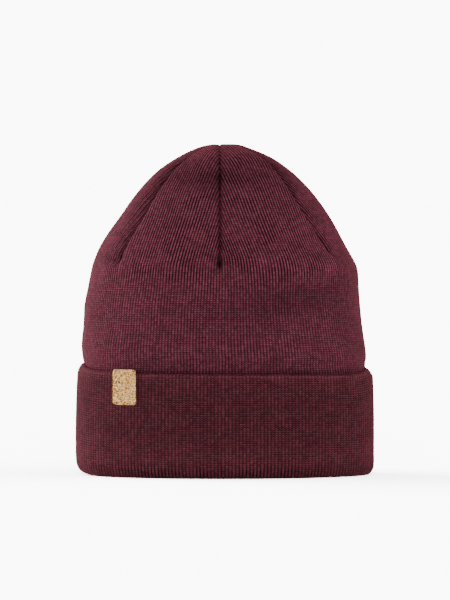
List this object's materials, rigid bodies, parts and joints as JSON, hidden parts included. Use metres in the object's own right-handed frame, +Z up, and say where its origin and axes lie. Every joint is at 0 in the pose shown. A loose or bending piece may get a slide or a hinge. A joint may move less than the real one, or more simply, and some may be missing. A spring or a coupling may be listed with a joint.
{
  "type": "knitted beanie hat",
  "caption": "Fine rib-knit beanie with a deep turned-up cuff, a domed crown gathered by dart seams and a small cork tab folded over the cuff's edge, standing open below.",
  "frame": {"origin": "on the floor under the middle of the hat, which stands on its hem fold", "axes": "+Z up to the top of the crown, the front of the hat faces -Y, +X to the right as seen from the front"},
  "size_m": [0.1974, 0.115, 0.2179],
  "materials": {
    "knit": "fine wool rib knit in dark wine red, matt with a soft nap",
    "cork": "thin cork sheet in pale tan with darker flecks, matt"
  },
  "bodies": {
    "root": {"crown": "knit", "cuff": "knit", "label": "cork"}
  },
  "joints": []
}
